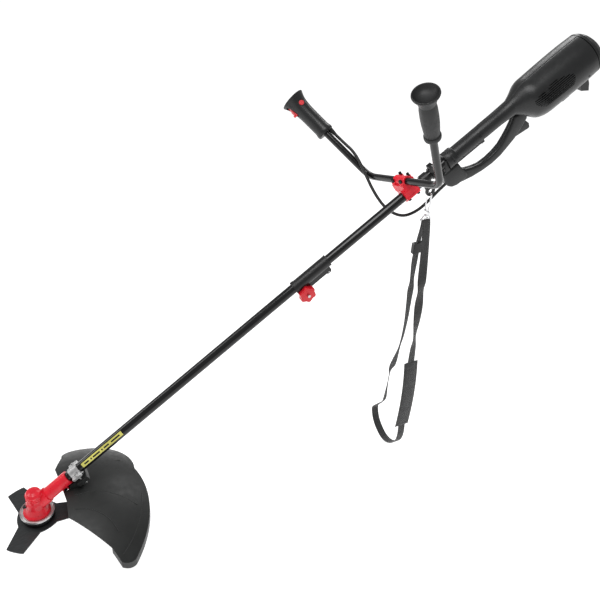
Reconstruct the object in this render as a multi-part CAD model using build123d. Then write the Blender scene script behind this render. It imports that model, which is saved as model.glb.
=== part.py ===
from build123d import *
import os
from math import atan2, cos, degrees, hypot, pi, radians, sin, tan

# Electric brush cutter, millimetres.
# Tool frame: +X runs up the tube towards the motor, +Z square to the tube, +Y to the
# operator's right.  The origin is on the tube axis under the handlebar clamp.
# Every piece is made in the tool frame and turned by PITCH at the end, so that the
# blade lies level in the row frame and the harness hangs straight down.
PITCH = 34.0

# ---- driving dimensions ----
TUBE_R = 13.0            # both tubes, outside
TUBE_BORE = 11.5
SHAFT_R = 4.0            # drive shafts
APEX_X = -1264.0         # where the spindle axis meets the tube axis
LOWER_TUBE_END = -322.0  # upper end of the lower tube, inside the coupling
UPPER_TUBE_END = -314.0  # lower end of the upper tube
HOUSING_TUBE_END = 150.0 # upper end of the upper tube, inside the motor nose
FIT = 0.05               # radial clearance of a shaft in its hole

BLADE_R = 116.0
BLADE_ROOT_R = 55.0
BLADE_T = 3.0
BLADE_TOP = -45.0        # height of the blade's top face on the spindle axis
SPINDLE_R = 5.0

PINION_TEETH = 13
GEAR_TEETH = 19
GEAR_MODULE = 1.4

BAR_R = 9.5              # handlebar tube
BAR_BORE = 8.0
BAR_HEIGHT = 38.0        # bar axis above tube axis
BAR_HALF = 158.0         # from the middle to each bend
BAR_ARM = 305.0          # from the bend to the end of the grip
BAR_SPREAD = 29.0        # lean of each arm, outwards, degrees
BAR_ROLL = 14.5          # turn of the clamp about the tube
BAR_YAW = 10.5           # turn of the bar across the tube
BAR_BEND_R = 48.0
GRIP_LENGTH = 136.0

MOTOR_DROP = 21.0        # motor axis below the tube axis
HOUSING_R = 61.0
HOUSING_WALL = 3.0

# ---- frames ----
SPINDLE_ANGLE = 90.0 - PITCH
B = radians(SPINDLE_ANGLE)
HEAD = Plane(origin=(APEX_X, 0, 0), x_dir=(sin(B), 0, -cos(B)), z_dir=(cos(B), 0, sin(B)))
BAR = Rot(-BAR_ROLL, 0, 0) * Rot(0, 0, BAR_YAW)
MIN = (Align.CENTER, Align.CENTER, Align.MIN)

nodes = {}


def rod(start, end, r, bore=0.0):
    """A round bar from start to end, or a tube when bore is given."""
    start, end = Vector(*start), Vector(*end)
    run = end - start
    piece = Cylinder(r, run.length, align=MIN)
    if bore:
        piece = piece - Cylinder(bore, run.length, align=MIN)
    return Plane(origin=start, z_dir=run.normalized()) * piece


def x_rod(x0, x1, r, bore=0.0, y=0.0, z=0.0):
    return rod((x0, y, z), (x1, y, z), r, bore)


def z_rod(z0, z1, r, bore=0.0, x=0.0, y=0.0):
    return rod((x, y, z0), (x, y, z1), r, bore)


def y_rod(y0, y1, r, bore=0.0, x=0.0, z=0.0):
    return rod((x, y0, z), (x, y1, z), r, bore)


def block(x0, x1, y0, y1, z0, z1):
    size = Box(x1 - x0, y1 - y0, z1 - z0)
    return Pos((x0 + x1) / 2, (y0 + y1) / 2, (z0 + z1) / 2) * size


def turned(profile):
    """Revolve (radius, height) points about Z."""
    outline = Polyline(*[(r, 0, h) for r, h in profile], close=True)
    return revolve(make_face(outline.edges()), Axis.Z)


def turned_x(profile, z=0.0):
    """Revolve (radius, x) points about the X direction."""
    return Plane(origin=(0, 0, z), z_dir=(1, 0, 0)) * turned(profile)


def plate(points, y0, y1):
    """A flat outline of (x, z) points, thick from y0 to y1."""
    outline = Polyline(*[(x, y0, z) for x, z in points], close=True)
    return extrude(make_face(outline.edges()), amount=y1 - y0, dir=(0, 1, 0))


def hex_prism(across, height, bore=0.0):
    piece = extrude(RegularPolygon(across / 2, 6, major_radius=False), amount=height)
    if bore:
        piece = piece - Cylinder(bore, height, align=MIN)
    return piece


def cap_screw(head_r, head_h, shank_r, length, socket=0.0):
    """Head below z=0, shank up from z=0."""
    piece = Pos(0, 0, -head_h) * Cylinder(head_r, head_h, align=MIN)
    piece += Cylinder(shank_r, length, align=MIN)
    if socket:
        piece -= Pos(0, 0, -head_h) * hex_prism(socket, head_h * 0.6)
    return piece


def group(pieces):
    return Compound(children=list(pieces))


def bevel_teeth(count, pitch_angle, first, outer=24.0, inner=17.0):
    """Straight bevel teeth round +Z with their apex at the origin; one tooth at azimuth first."""
    half = (pi * GEAR_MODULE / 2 - 0.5) / 2
    add, ded = 0.75 * GEAR_MODULE, 1.2 * GEAR_MODULE
    teeth = []
    for k in range(count):
        azimuth = first + 2 * pi * k / count
        ends = []
        for cone in (outer, inner):
            scale = cone / outer
            corners = []
            for side, height, width in ((1, -ded, half + 0.36 * ded), (1, add, half - 0.36 * add),
                                        (-1, add, half - 0.36 * add), (-1, -ded, half + 0.36 * ded)):
                lean = pitch_angle + height / outer
                radius = cone * sin(lean)
                turn = side * width * scale / radius
                corners.append((radius * cos(azimuth + turn), radius * sin(azimuth + turn), cone * cos(lean)))
            ends.append(make_face(Polyline(*corners, close=True).edges()))
        teeth.append(loft(ends, ruled=True))
    return teeth


def bevel_gear(count, pitch_angle, first, bore, hub_r, hub_to):
    """Bevel gear with a hub that reaches hub_to on +Z."""
    outer, inner = 24.0, 17.0
    root = pitch_angle - 1.1 * GEAR_MODULE / outer
    profile = [(bore, inner * cos(root)), (inner * sin(root), inner * cos(root)),
               (outer * sin(root), outer * cos(root)), (hub_r, outer * cos(root) + 1.0),
               (hub_r, hub_to), (bore, hub_to)]
    gear = turned(profile)
    for tooth in bevel_teeth(count, pitch_angle, first):
        gear = gear + tooth
    return gear


# ---- gearbox and cutting head, in the head frame: Z up the spindle, X towards the motor ----
PINION_CONE = atan2(sin(B), GEAR_TEETH / PINION_TEETH + cos(B))
GEAR_CONE = B - PINION_CONE
TUBE_DIR = Vector(cos(radians(PITCH)), 0, sin(radians(PITCH)))
NECK_END = 108.0
CASE_FLOOR = -26.0


def along_tube(distance):
    return (TUBE_DIR.X * distance, 0, TUBE_DIR.Z * distance)


def make_gearbox():
    neck = rod(along_tube(0), along_tube(NECK_END), 18.0)
    flare = rod(along_tube(0), along_tube(40), 21.0)
    body = turned([(0, CASE_FLOOR), (34.5, CASE_FLOOR), (34.5, -22), (30, -18), (24, -4), (23, 12),
                   (20.5, 18), (20.5, 40), (17, 46), (9, 49), (0, 49)])
    case = neck + flare + body
    for z in (25, 31, 37):
        case += turned([(20.3, z - 1), (21.6, z - 0.5), (21.6, z + 0.5), (20.3, z + 1)])
    cavity = turned([(0, CASE_FLOOR), (15.0, CASE_FLOOR), (15.0, -11), (18.5, -8), (18.5, 27), (11, 27),
                     (11, 36), (7, 36), (7, 42), (0, 42)])
    case -= cavity
    case -= rod(along_tube(8), along_tube(28), 15.0)
    case -= rod(along_tube(20), along_tube(45), 11.0)
    case -= rod(along_tube(45), along_tube(NECK_END + 1), TUBE_R + FIT)
    lug_at = along_tube(80)
    lug = Pos(*lug_at) * Rot(0, -PITCH, 0) * block(-8, 8, -9, 9, -24, -12)
    case += lug
    case -= rod(along_tube(45), along_tube(NECK_END + 1), TUBE_R + FIT)
    slot = Pos(*lug_at) * Rot(0, -PITCH, 0) * block(-12, 29, -1, 1, -30, -12)
    case -= slot
    case -= Pos(*lug_at) * Rot(0, -PITCH, 0) * y_rod(-12, 12, 2.5, z=-19)
    case -= Pos(*lug_at) * Rot(0, -PITCH, 0) * y_rod(-12, -6.5, 5.0, z=-19)
    case -= rod((-30, 0, 2), (-15, 0, 2), 3.05)
    for angle in (60, 180, 300):
        case -= z_rod(CASE_FLOOR - 1, -15, 1.6, x=27 * cos(radians(angle)), y=27 * sin(radians(angle)))
    nodes["gearbox_case"] = HEAD * case
    bolt = Rot(-90, 0, 0) * cap_screw(5.0, 4.0, 2.5, 14.0, 4.0)
    bolt = Pos(*lug_at) * Rot(0, -PITCH, 0) * Pos(0, -6.5, -19) * bolt
    plug = rod((-29, 0, 2), (-18.6, 0, 2), 3.0) + rod((-31.5, 0, 2), (-24.2, 0, 2), 4.5)
    plug -= rod((-31.5, 0, 2), (-29.5, 0, 2), 2.0)
    plug -= turned([(0, -10), (24.1, -10), (24.1, 14), (0, 14)])
    screw = Cylinder(1.5, 12.0, align=MIN) + Pos(0, 0, -2) * Cylinder(3.0, 2.0, align=MIN)
    screws = [Pos(27 * cos(radians(a)), 27 * sin(radians(a)), -29) * screw for a in (60, 180, 300)]
    nodes["gearbox_fasteners"] = HEAD * group([bolt, plug] + screws)


def ball_bearing(outer, bore, width):
    """Closed bearing: races and shields as one ring."""
    ring = Cylinder(outer, width, align=MIN) - Cylinder(bore, width, align=MIN)
    for z in (-0.01, width - 0.49):
        ring -= Pos(0, 0, z) * (Cylinder(outer * 0.86, 0.5, align=MIN) - Cylinder(bore * 1.3, 0.5, align=MIN))
    return ring


def make_drive_head():
    top = Pos(0, 0, 28) * ball_bearing(11.0, SPINDLE_R + FIT, 7.0)
    bottom = Pos(0, 0, -20) * ball_bearing(15.0, SPINDLE_R + FIT, 8.0)
    bearing = ball_bearing(11.0, SHAFT_R + FIT, 7.0)
    pair = [Plane(origin=(APEX_X + x, 0, 0), z_dir=(1, 0, 0)) * bearing for x in (29.0, 37.5)]
    nodes["gearbox_bearings"] = group([HEAD * top, HEAD * bottom] + pair)
    gear = bevel_gear(GEAR_TEETH, GEAR_CONE, pi / GEAR_TEETH, SPINDLE_R, 8.0, 27.0)
    nodes["bevel_gear"] = HEAD * gear
    spindle = z_rod(-62, 35.5, SPINDLE_R) + z_rod(-77, -62, 4.0)
    spindle += z_rod(-11.9, 12.5, 7.0)
    nodes["spindle"] = HEAD * spindle
    pinion = bevel_gear(PINION_TEETH, PINION_CONE, pi, SHAFT_R, 6.0, 28.5)
    pinion_at = Plane(origin=(APEX_X, 0, 0), x_dir=(0, 0, -1), z_dir=(1, 0, 0))
    nodes["bevel_pinion"] = pinion_at * pinion


def make_cutter():
    ring = turned([(17, -29), (42, -29), (43, -27.5), (43, -22), (42, -22), (40.5, -27.0), (38, CASE_FLOOR),
                   (17, CASE_FLOOR)])
    for angle in (60, 180, 300):
        ring -= z_rod(-30, -20, 1.7, x=27 * cos(radians(angle)), y=27 * sin(radians(angle)))
    nodes["deflector_ring"] = HEAD * ring
    cup = turned([(SPINDLE_R, -20.4), (8, -20.4), (8, -32.5), (38, -32.5), (40, -34.5), (40, -41), (37, BLADE_TOP),
                  (12.6, BLADE_TOP), (12.6, BLADE_TOP - 2.6), (SPINDLE_R, BLADE_TOP - 2.6)])
    nodes["drive_flange"] = HEAD * cup
    outline = []
    for tooth in range(3):
        middle = radians(-9.0 + 120 * tooth)
        foot_1, tip_1, tip, tip_2, foot_2, hollow, foot_3 = [
            (radius * cos(middle + turn), radius * sin(middle + turn))
            for radius, turn in ((BLADE_ROOT_R, -0.6), (BLADE_R, -0.2), (BLADE_R, 0), (BLADE_R, 0.2),
                                 (BLADE_ROOT_R, 0.6), (BLADE_ROOT_R - 2, pi / 3), (BLADE_ROOT_R, 2 * pi / 3 - 0.6))]
        outline += [Line(foot_1, tip_1), ThreePointArc(tip_1, tip, tip_2), Line(tip_2, foot_2),
                    ThreePointArc(foot_2, hollow, foot_3)]
    edges = []
    for item in outline:
        edges += item.edges()
    blade = extrude(make_face(edges), amount=BLADE_T)
    blade -= Cylinder(12.7, BLADE_T, align=MIN)
    nodes["blade"] = HEAD * (Pos(0, 0, BLADE_TOP - BLADE_T) * blade)
    low = BLADE_TOP - BLADE_T
    nodes["blade_washer"] = HEAD * turned([(SPINDLE_R + FIT, low), (26, low), (26, low - 1.5), (18, low - 5),
                                           (SPINDLE_R + FIT, low - 5)])
    nut = hex_prism(17.0, 8.0, SPINDLE_R) + (Cylinder(11, 1.5, align=MIN) - Cylinder(SPINDLE_R, 1.5, align=MIN))
    nodes["blade_nut"] = HEAD * (Pos(0, 0, low - 5) * Rot(180, 0, 0) * nut)


make_gearbox()
make_drive_head()
make_cutter()


# ---- guard: a domed fan with a skirt, and its bracket on the tube ----
DOME_R = 333.0
DOME_TOP = 28.0          # crown of the guard, on the spindle axis
DOME_X, DOME_Y = 110.0, -10.0
GUARD_WALL = 3.0
SKIRT_DEPTH = 22.0


def guard_outline(inset):
    """Fan outline seen from above, moved inwards by inset on its outer edges."""
    i = inset
    near_corner = (176 + i * 0.2, -226 + i)
    far_corner = (150, 196 - i)
    edges = [
        Line((66, 90), (72, -45)),
        Line((72, -45), (64 + 2, -90)),
        Line((66, -90), (146, -190)),
        Line((146, -190), (160, -222 + i)),
        ThreePointArc((160, -222 + i), near_corner, (196, -221 + i)),
        ThreePointArc((196, -221 + i), (268 - i, -104), (266 - i, 30)),
        ThreePointArc((266 - i, 30), (232 - i * 0.8, 152 - i * 0.6), far_corner),
        ThreePointArc(far_corner, (108, 188 - i), (92, 150)),
        Line((92, 150), (66, 90)),
    ]
    return edges


def guard_prism(inset):
    flat = []
    for edge in guard_outline(inset):
        flat += edge.edges()
    return Pos(0, 0, -90) * extrude(make_face(flat), amount=200)


def dome(drop):
    return Pos(DOME_X, DOME_Y, DOME_TOP - DOME_R - drop) * Sphere(DOME_R)


def make_guard():
    sheet = (guard_prism(0) & dome(0)) - dome(GUARD_WALL)
    rim = (guard_prism(0) - guard_prism(3.0)) & dome(1.0)
    rim -= dome(SKIRT_DEPTH)
    rim &= block(100, 400, -400, 400, -200, 200) + block(60, 400, -400, -185, -200, 200)
    guard = sheet + rim
    boss_at = along_tube(132)
    boss = Pos(*boss_at) * Rot(0, -PITCH, 0) * block(-16, 16, -26, 26, -30, -16.6)
    reach = block(60, 150, -30, 30, DOME_TOP - 6, DOME_TOP + 60)
    guard += boss & reach
    stem = block(88, 122, -14, 14, DOME_TOP - 4, 52)
    guard += stem - Pos(*boss_at) * Rot(0, -PITCH, 0) * block(-80, 80, -60, 60, -16.6, 80)
    guard -= rod(along_tube(60), along_tube(260), TUBE_R + 3.2)
    guard -= rod(along_tube(30), along_tube(NECK_END + 2), 19.5)
    guard -= Pos(*along_tube(80)) * Rot(0, -PITCH, 0) * block(-14, 32, -11, 11, -27, -10)
    for side in (-1, 1):
        guard -= Pos(*boss_at) * Rot(0, -PITCH, 0) * z_rod(-40, 0, 2.7, y=side * 20)
    nodes["guard"] = HEAD * guard
    on_tube = Pos(*boss_at) * Rot(0, -PITCH, 0)
    strap = x_rod(-13, 13, TUBE_R + 2.5, TUBE_R + FIT)
    upper = strap & block(-14, 14, -30, 30, 0.3, 40)
    lower = strap & block(-14, 14, -30, 30, -40, -0.3)
    for side in (-1, 1):
        y0, y1 = sorted((side * 14.2, side * 27))
        upper += block(-13, 13, y0, y1, 0.3, 3.3) - z_rod(0, 4, 2.7, y=side * 20)
        lower += block(-13, 13, y0, y1, -3.3, -0.3) - z_rod(-4, 0, 2.7, y=side * 20)
    lower += block(-13, 13, -10, 10, -16.6, -14.0) - x_rod(-14, 14, TUBE_R + 0.5)
    nodes["guard_bracket_cap"] = HEAD * (on_tube * upper)
    nodes["guard_bracket_base"] = HEAD * (on_tube * lower)
    fasteners = []
    for side in (-1, 1):
        bolt = Pos(0, side * 20, 3.3) * Rot(180, 0, 0) * cap_screw(4.5, 5.0, 2.5, 40.0, 4.0)
        fasteners.append(on_tube * bolt)
        fasteners.append(on_tube * Pos(0, side * 20, -34.0) * hex_prism(8.0, 4.0, 2.5))
    nodes["guard_fasteners"] = HEAD * group(fasteners)


make_guard()


# ---- tubes and drive shafts ----
KEY_HALF = 2.6           # half width of the slot that the lock lever's tooth sits in
SQUARE = 6.4             # drive square on the lower shaft
RUN_BORE = SHAFT_R + FIT


def make_tubes():
    lower = x_rod(APEX_X + 46, LOWER_TUBE_END, TUBE_R, TUBE_BORE)
    lower -= block(-352, LOWER_TUBE_END + 1, -KEY_HALF, KEY_HALF, -15, -10)
    nodes["lower_tube"] = lower
    nodes["upper_tube"] = x_rod(UPPER_TUBE_END, HOUSING_TUBE_END, TUBE_R, TUBE_BORE)
    nodes["lower_tube_bushes"] = group(
        x_rod(x, x + 14, TUBE_BORE, RUN_BORE) for x in (-1180, -970, -760, -550, -380))
    nodes["upper_tube_bushes"] = group(
        x_rod(x, x + 14, TUBE_BORE, RUN_BORE) for x in (-300, -150, 0, 132))
    shaft = x_rod(APEX_X + 16.5, -352, SHAFT_R)
    half = SQUARE / 2
    shaft += block(-352, -330, -half, half, -half, half) & x_rod(-352, -330, SHAFT_R)
    nodes["lower_drive_shaft"] = shaft
    nodes["upper_drive_shaft"] = x_rod(-326, 402, SHAFT_R)
    half += 0.1
    socket = x_rod(-350, -312, 8.0)
    socket -= block(-351, -326, -half, half, -half, half)
    socket -= x_rod(-326, -311, SHAFT_R)
    nodes["shaft_socket"] = socket


# ---- coupling between the two tubes ----
SLEEVE_R = 16.2
SLEEVE = (-396.0, -280.0)
KNOB_AT = (-378.0, -29.0)
LEVER_PIVOT = (-296.0, -27.0)


def make_coupling():
    sleeve = x_rod(*SLEEVE, SLEEVE_R)
    sleeve += x_rod(-396, -386, SLEEVE_R + 1.3)
    sleeve += block(-392, -364, -11, 11, -36, -8)
    px, pz = LEVER_PIVOT
    sleeve += block(px - 8, px + 9, -9, 9, pz - 5, -8) & (y_rod(-9, 9, 9, x=px, z=pz + 4) + block(
        px - 8, px + 9, -9, 9, pz + 4, -8))
    sleeve += block(-364, px, -9, -6, -21, -8) + block(-364, px, 6, 9, -21, -8)
    sleeve -= x_rod(-397, UPPER_TUBE_END, TUBE_R + FIT)
    sleeve -= x_rod(UPPER_TUBE_END, -279, TUBE_R)
    sleeve -= block(-397, -358, -1, 1, -40, -8)
    sleeve -= y_rod(-12, 12, 4.0, x=KNOB_AT[0], z=KNOB_AT[1])
    sleeve -= block(-346, -333, -3, 3, -24, -8)
    sleeve -= block(-362, px + 10, -5.2, 5.2, -40, -SLEEVE_R - 0.3)
    sleeve -= y_rod(-12, 12, 2.0, x=px, z=pz)
    nodes["coupling_sleeve"] = sleeve
    bolt = y_rod(-32, 11, 4.0 - FIT, x=KNOB_AT[0], z=KNOB_AT[1])
    bolt += Plane(origin=(KNOB_AT[0], 11, KNOB_AT[1]), z_dir=(0, 1, 0)) * hex_prism(13, 6)
    nodes["coupling_fasteners"] = group([bolt, y_rod(-10, 10, 2.0, x=px, z=pz)])
    knob = Cylinder(20.0, 17, align=MIN)
    for k in range(6):
        angle = radians(60 * k + 12)
        knob += Pos(17.5 * cos(angle), 17.5 * sin(angle), 0) * Cylinder(8.4, 17, align=MIN)
    knob += Pos(0, 0, -6) * Cylinder(10, 6, align=MIN)
    knob -= Pos(0, 0, 14) * (Cylinder(15, 4, align=MIN) - Cylinder(6, 4, align=MIN))
    knob -= Pos(0, 0, -7) * Cylinder(4.0, 22, align=MIN)
    knob_at = Plane(origin=(KNOB_AT[0], -17.3, KNOB_AT[1]), z_dir=(0, -1, 0))
    nodes["coupling_knob"] = knob_at * knob
    lever = block(-358, px, -4.8, 4.8, pz - 4.5, pz + 2.5)
    lever += y_rod(-4.8, 4.8, 6.0, x=px, z=pz)
    lever += y_rod(-4.8, 4.8, 5.0, x=-358, z=pz - 1)
    lever += block(-343, -337, -2.3, 2.3, pz + 2, -11.8)
    lever -= y_rod(-6, 6, 2.0 + FIT, x=px, z=pz)
    nodes["lock_lever"] = lever


# ---- handlebar clamp ----
CLAMP_HALF = 24.0
CLAMP_ROLL = Rot(-BAR_ROLL, 0, 0)


def make_clamp():
    tube_part = block(-21, 21, -CLAMP_HALF, CLAMP_HALF, 0.4, 20)
    bar_part = BAR * block(-20, 20, -CLAMP_HALF, CLAMP_HALF, 16, BAR_HEIGHT - 0.4)
    saddle = CLAMP_ROLL * tube_part + bar_part
    cap = BAR * (block(-20, 20, -CLAMP_HALF, CLAMP_HALF, BAR_HEIGHT + 0.4, BAR_HEIGHT + 6.5)
                 + (y_rod(-CLAMP_HALF, CLAMP_HALF, 15, z=BAR_HEIGHT)
                    & block(-20, 20, -30, 30, BAR_HEIGHT + 0.4, 80)))
    base = block(-21, 21, -CLAMP_HALF, CLAMP_HALF, -6.5, -0.4)
    base += x_rod(-21, 21, 17.5) & block(-30, 30, -30, 30, -30, -0.4)
    base = CLAMP_ROLL * base
    tube = x_rod(-40, 40, TUBE_R)
    bar = BAR * y_rod(-40, 40, BAR_R + FIT, z=BAR_HEIGHT)
    bolts = []
    for x in (-14.5, 14.5):
        for y in (-17, 17):
            screw = cap_screw(4.2, 8.0, 2.5, 20.0, 4.0)
            bolts.append(BAR * (Pos(x, y, BAR_HEIGHT + 6.5) * Rot(180, 0, 0) * screw))
            bolts.append(CLAMP_ROLL * (Pos(x, y * 19 / 17, -6.5) * cap_screw(4.2, 5.0, 2.5, 18.0, 4.0)))
    hole = BAR * (Pos(0, 0, BAR_HEIGHT + 13.5) * hex_prism(7.0, 3.0))
    cap = cap - bar - hole
    saddle = saddle - tube - bar
    base = base - tube
    for bolt in bolts:
        cap, saddle, base = cap - bolt, saddle - bolt, base - bolt
    nodes["clamp_bar_cap"] = cap
    nodes["clamp_saddle"] = saddle
    nodes["clamp_tube_cap"] = base
    nodes["clamp_bolts"] = group(bolts)


# ---- handlebar and grips ----
LEAN = radians(BAR_SPREAD)


def bar_point(side, distance):
    """A point on the bar axis, distance past the bend on the side +1 (right) or -1 (left)."""
    return (0, side * (BAR_HALF + distance * sin(LEAN)), BAR_HEIGHT + distance * cos(LEAN))


def grip_frame(side):
    """Origin at the outer end of the grip, Z outwards along the bar, X towards the motor."""
    return Plane(origin=bar_point(side, BAR_ARM), x_dir=(1, 0, 0), z_dir=(0, side * sin(LEAN), cos(LEAN)))


SWITCH_BAR_END = 62.0    # bare length of the right grip past the end of the bar
PLAIN_BAR_END = 16.0


def make_handlebar():
    points = [bar_point(1, BAR_ARM - SWITCH_BAR_END), bar_point(1, 0), bar_point(-1, 0),
              bar_point(-1, BAR_ARM - PLAIN_BAR_END)]
    path = FilletPolyline(*points, radius=BAR_BEND_R)
    start = Plane(origin=points[0], z_dir=path % 0)
    outer = sweep(start * Circle(BAR_R), path=path)
    bore = sweep(start * Circle(BAR_BORE), path=path)
    nodes["handlebar"] = BAR * (outer - bore)


def make_plain_grip():
    profile = [(BAR_R, -GRIP_LENGTH), (18.8, -GRIP_LENGTH), (19.8, -134), (19.8, -126), (17.4, -122),
               (17.8, -105), (19.6, -70), (20.4, -50), (20.0, -34), (22, -24), (29, -10), (33, -4), (33, -1),
               (32, 0), (29.5, -1), (22, -10), (12, -14), (0, -15.5), (0, -16), (BAR_R, -16)]
    grip = turned(profile)
    nodes["plain_grip"] = BAR * (grip_frame(-1) * grip)


BUTTON_Z = -30.0
TRIGGER_PIVOT = (-18.0, -15.0)


def make_switch_grip():
    body = turned([(0, -GRIP_LENGTH), (24.5, -GRIP_LENGTH), (25.2, -134), (24.6, -124), (23.0, -118),
                   (23.2, -60), (24.5, -40), (27, -22), (33, -8), (36, -2), (35, 0), (0, 0)])
    body -= Pos(0, 0, -GRIP_LENGTH - 1) * Cylinder(BAR_R, GRIP_LENGTH - SWITCH_BAR_END + 1, align=MIN)
    body -= block(-17, 13, -13, 13, -60, -10)
    body -= block(-45, -16, -5.6, 5.6, -48, -9)
    body -= Pos(2, 0, BUTTON_Z) * y_rod(-40, -12, 7.6)
    body -= z_rod(-GRIP_LENGTH - 1, -58, 3.0, x=16.5)
    body -= z_rod(-GRIP_LENGTH - 1, -GRIP_LENGTH + 6, 6.0, x=16.5)
    for z in (-112, -72):
        body -= Pos(0, 0, z) * y_rod(-30, 30, 1.6, x=-16)
    frame = grip_frame(1)
    nodes["switch_grip_front_shell"] = BAR * (frame * (body & block(-60, 60, -60, 0, -200, 20)))
    nodes["switch_grip_back_shell"] = BAR * (frame * (body & block(-60, 60, 0, 60, -200, 20)))
    tx, tz = TRIGGER_PIVOT
    trigger = block(-29, -15, -5.2, 5.2, -44, -13) - block(-40, -27.4, -8, 8, -26, -9)
    trigger += block(-33, -26, -2.6, 2.6, -44, -38) + y_rod(-5.2, 5.2, 3.6, x=tx, z=tz)
    nodes["trigger"] = BAR * (frame * trigger)
    button = Pos(2, 0, BUTTON_Z) * (y_rod(-26.6, -14.0, 7.2) + y_rod(-12.4, -9.0, 8.6) + y_rod(-15, -9, 6.0))
    nodes["lock_button"] = BAR * (frame * button)
    switch = block(-9, 9, -5, 8, -58, -44) + block(-9, 4, -4, 4, -44, -42)
    nodes["grip_switch"] = BAR * (frame * switch)
    relief = z_rod(-GRIP_LENGTH, -GRIP_LENGTH + 6, 5.95, x=16.5)
    relief += Pos(16.5, 0, -GRIP_LENGTH - 18) * Cone(4.8, 6.6, 18, align=MIN)
    nodes["cable_relief"] = BAR * (frame * relief)


# ---- control cable, from the grip's relief to the motor nose ----
CABLE_R = 4.25
CABLE_START, CABLE_SECOND = [
    (BAR * grip_frame(1).location * Pos(16.5, 0, -GRIP_LENGTH - past)).position for past in (18, 48)]
CABLE_ROUTE = [
    (-20, 203, 62), (-36, 156, 22), (-54, 110, -16), (-60, 65, -53),
    (-42, 28, -79), (0, 18, -89), (44, 18, -87), (78, 10, -73),
]
CABLE_END = (103.5, 0.0, -62.0)


def make_cable():
    points = [CABLE_START, CABLE_SECOND] + [Vector(*p) for p in CABLE_ROUTE + [CABLE_END]]
    radii = []
    for before, here, after in zip(points, points[1:], points[2:]):
        run_in, run_out = here - before, after - here
        turn = radians(run_in.get_angle(run_out))
        radii.append(0.45 * min(run_in.length, run_out.length) / tan(turn / 2))
    path = FilletPolyline(*points, radius=radii)
    print("cable radii", [round(r) for r in radii], "length", round(path.length, 1))
    print("cable runs", [round((b - a).length) for a, b in zip(points, points[1:])])
    start = Plane(origin=points[0], z_dir=path % 0)
    cable = sweep(start * Circle(CABLE_R), path=path)
    print("cable volume ratio", round(cable.volume / (pi * CABLE_R ** 2 * path.length), 4))
    nodes["control_cable"] = cable


# ---- harness hanger under the tube ----
EYE = (52.0, -46.0)


def make_hanger():
    x, z = EYE
    band = x_rod(x - 10, x + 10, TUBE_R + 3, TUBE_R)
    lug = block(x - 10, x + 10, -3, 3, z, -TUBE_R - 1) + y_rod(-3, 3, 14, x=x, z=z)
    nodes["hanger_eye"] = band + (lug - y_rod(-4, 4, 7.0, x=x, z=z))


# ---- motor unit ----
GRIP_R = 21.0
LOOP_R = 11.0
HOUSING_END = 596.0


def housing_form(skin):
    """The grip, flare and motor shell as one solid, shrunk by skin."""
    sections = [(346, 0, GRIP_R), (362, -4, 29), (378, -12, 44), (398, -18, 55), (430, -MOTOR_DROP, HOUSING_R),
                (520, -MOTOR_DROP, HOUSING_R + 1), (HOUSING_END, -MOTOR_DROP, HOUSING_R - 1)]
    form = x_rod(146, 346, GRIP_R - skin)
    for (x0, z0, r0), (x1, z1, r1) in zip(sections, sections[1:]):
        first = Plane(origin=(x0, 0, z0), z_dir=(1, 0, 0)) * Circle(r0 - skin)
        second = Plane(origin=(x1, 0, z1), z_dir=(1, 0, 0)) * Circle(r1 - skin)
        form += loft([first, second], ruled=True)
    return form


def make_housing():
    shell = housing_form(0) + x_rod(122, 153, 24.5)
    nose = plate([(98, -20), (95, -52), (103, -70), (122, -80), (150, -82), (165, -74), (156, -44), (150, -20)],
                 -17, 17)
    nose += plate([(104, -24), (124, -24), (124, 12), (116, 12)], -15, 15)
    loop = FilletPolyline((130, 0, -62), (180, 0, -86), (245, 0, -97), (312, 0, -84), (372, 0, -34),
                          radius=[90, 90, 90])
    bar = sweep(Plane(origin=loop @ 0, z_dir=loop % 0) * Circle(LOOP_R), path=loop)
    fin = plate([(322, -70), (380, -70), (384, -94), (380, -98), (334, -90)], -5, 5)
    feet = plate([(486, -75), (522, -75), (518, -94), (492, -94)], -16, 16)
    inner = housing_form(HOUSING_WALL) - x_rod(100, 151, 40)
    shell = shell + nose + bar + fin + feet - inner
    shell -= x_rod(90, 151, TUBE_R)
    shell -= block(110, 146, -11, 11, -70, -28)
    shell -= block(152, 250, -6, 6, -24, -12)
    shell -= rod(CABLE_ROUTE[-1], CABLE_END, CABLE_R + 0.1)
    half = block(0, 700, -120, 0, -160, 120)
    nodes["motor_housing_left"] = shell & half
    nodes["motor_housing_right"] = shell - half
    cap = turned_x([(0, HOUSING_END + 34), (22, HOUSING_END + 33), (42, HOUSING_END + 27),
                    (54, HOUSING_END + 16), (60, HOUSING_END + 2), (60, HOUSING_END), (55.5, HOUSING_END),
                    (50, HOUSING_END + 13), (39, HOUSING_END + 23), (20, HOUSING_END + 29.5),
                    (0, HOUSING_END + 30.5)], z=-MOTOR_DROP)
    for k in range(5):
        angle = radians(-90 + (k - 2) * 24)
        cap -= Pos(HOUSING_END + 20, 0, -MOTOR_DROP) * Rot(degrees(angle) + 90, 0, 0) * block(
            -9, 20, -1.8, 1.8, -48, -30)
    nodes["rear_cap"] = cap
    inlet = plate([(560, -70), (588, -70), (587, -104), (580, -126), (557, -109)], -14, 14) - housing_form(0)
    recess = Plane(origin=(583.5, 0, -115), x_dir=(0, 1, 0), z_dir=(-0.953, 0, 0.303))
    inlet -= recess * (Pos(0, 0, -2) * Box(22, 14, 15, align=MIN))
    nodes["mains_inlet"] = inlet
    lever = block(156, 246, -5, 5, -29, -22.6) + block(158, 180, -5, 5, -24, -17.5)
    lever += block(236, 246, -5, 5, -31, -24) + y_rod(-5, 5, 2.5, x=170, z=-18)
    nodes["rear_trigger"] = lever


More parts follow.
